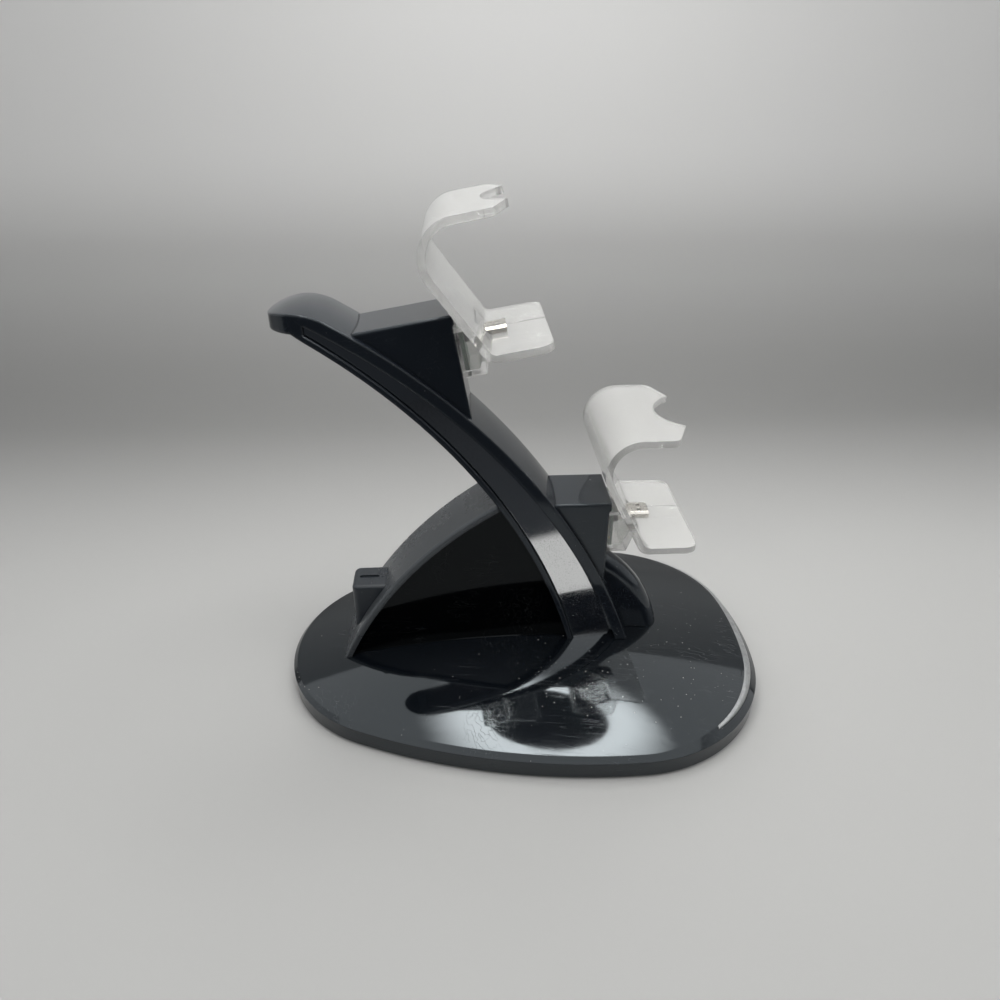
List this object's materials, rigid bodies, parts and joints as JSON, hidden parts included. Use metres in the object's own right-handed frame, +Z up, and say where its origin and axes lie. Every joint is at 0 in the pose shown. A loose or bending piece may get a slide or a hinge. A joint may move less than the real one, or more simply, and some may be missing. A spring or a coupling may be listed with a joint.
{
  "type": "controller charging dock",
  "caption": "Tabletop dock with a crowned base, a curved arm on a fin and clear hooked cradles with charging plugs that hold and charge game controllers",
  "frame": {"origin": "under the middle of the base, on the table", "axes": "+X to the front, where the controllers face, +Y to the left, +Z up"},
  "size_m": [0.155, 0.1086, 0.1518],
  "materials": {
    "black_gloss": "polished",
    "black_matte": "fine grain",
    "rubber": "matte",
    "steel": "plain",
    "window_silver": "worn silver",
    "board_green": "satin",
    "led_white": "polished",
    "trim_chrome": "mirror",
    "inlet_grey": "satin",
    "clear_plastic": "polished",
    "nickel": "satin"
  },
  "bodies": {
    "root": {"base_shell": "black_gloss", "base_cover": "black_matte", "rubber_feet": "rubber", "base_screws": "steel", "light_window": "window_silver", "light_board": "board_green", "light_leds": "led_white", "main_board": "board_green", "board_chips": "black_matte", "arm_shell": "black_gloss", "arm_under_cover": "black_matte", "arm_trim_left": "trim_chrome", "arm_trim_right": "trim_chrome", "fin_spine": "black_gloss", "fin_panel_left": "black_gloss", "fin_panel_right": "black_gloss", "inlet_housing": "inlet_grey", "inlet_socket": "nickel", "inlet_tongue": "black_matte", "front_leg": "black_gloss", "upper_block": "black_gloss", "upper_cradle": "clear_plastic", "upper_plug_shell": "nickel", "upper_plug_core": "black_matte", "upper_plug_collar": "black_matte", "upper_plug_board": "board_green", "lower_block": "black_gloss", "lower_cradle": "clear_plastic", "lower_plug_shell": "nickel", "lower_plug_core": "black_matte", "lower_plug_collar": "black_matte", "lower_plug_board": "board_green", "power_lead": "black_matte", "light_lead": "black_matte", "lower_lead": "black_matte", "upper_lead": "black_matte"}
  },
  "joints": []
}
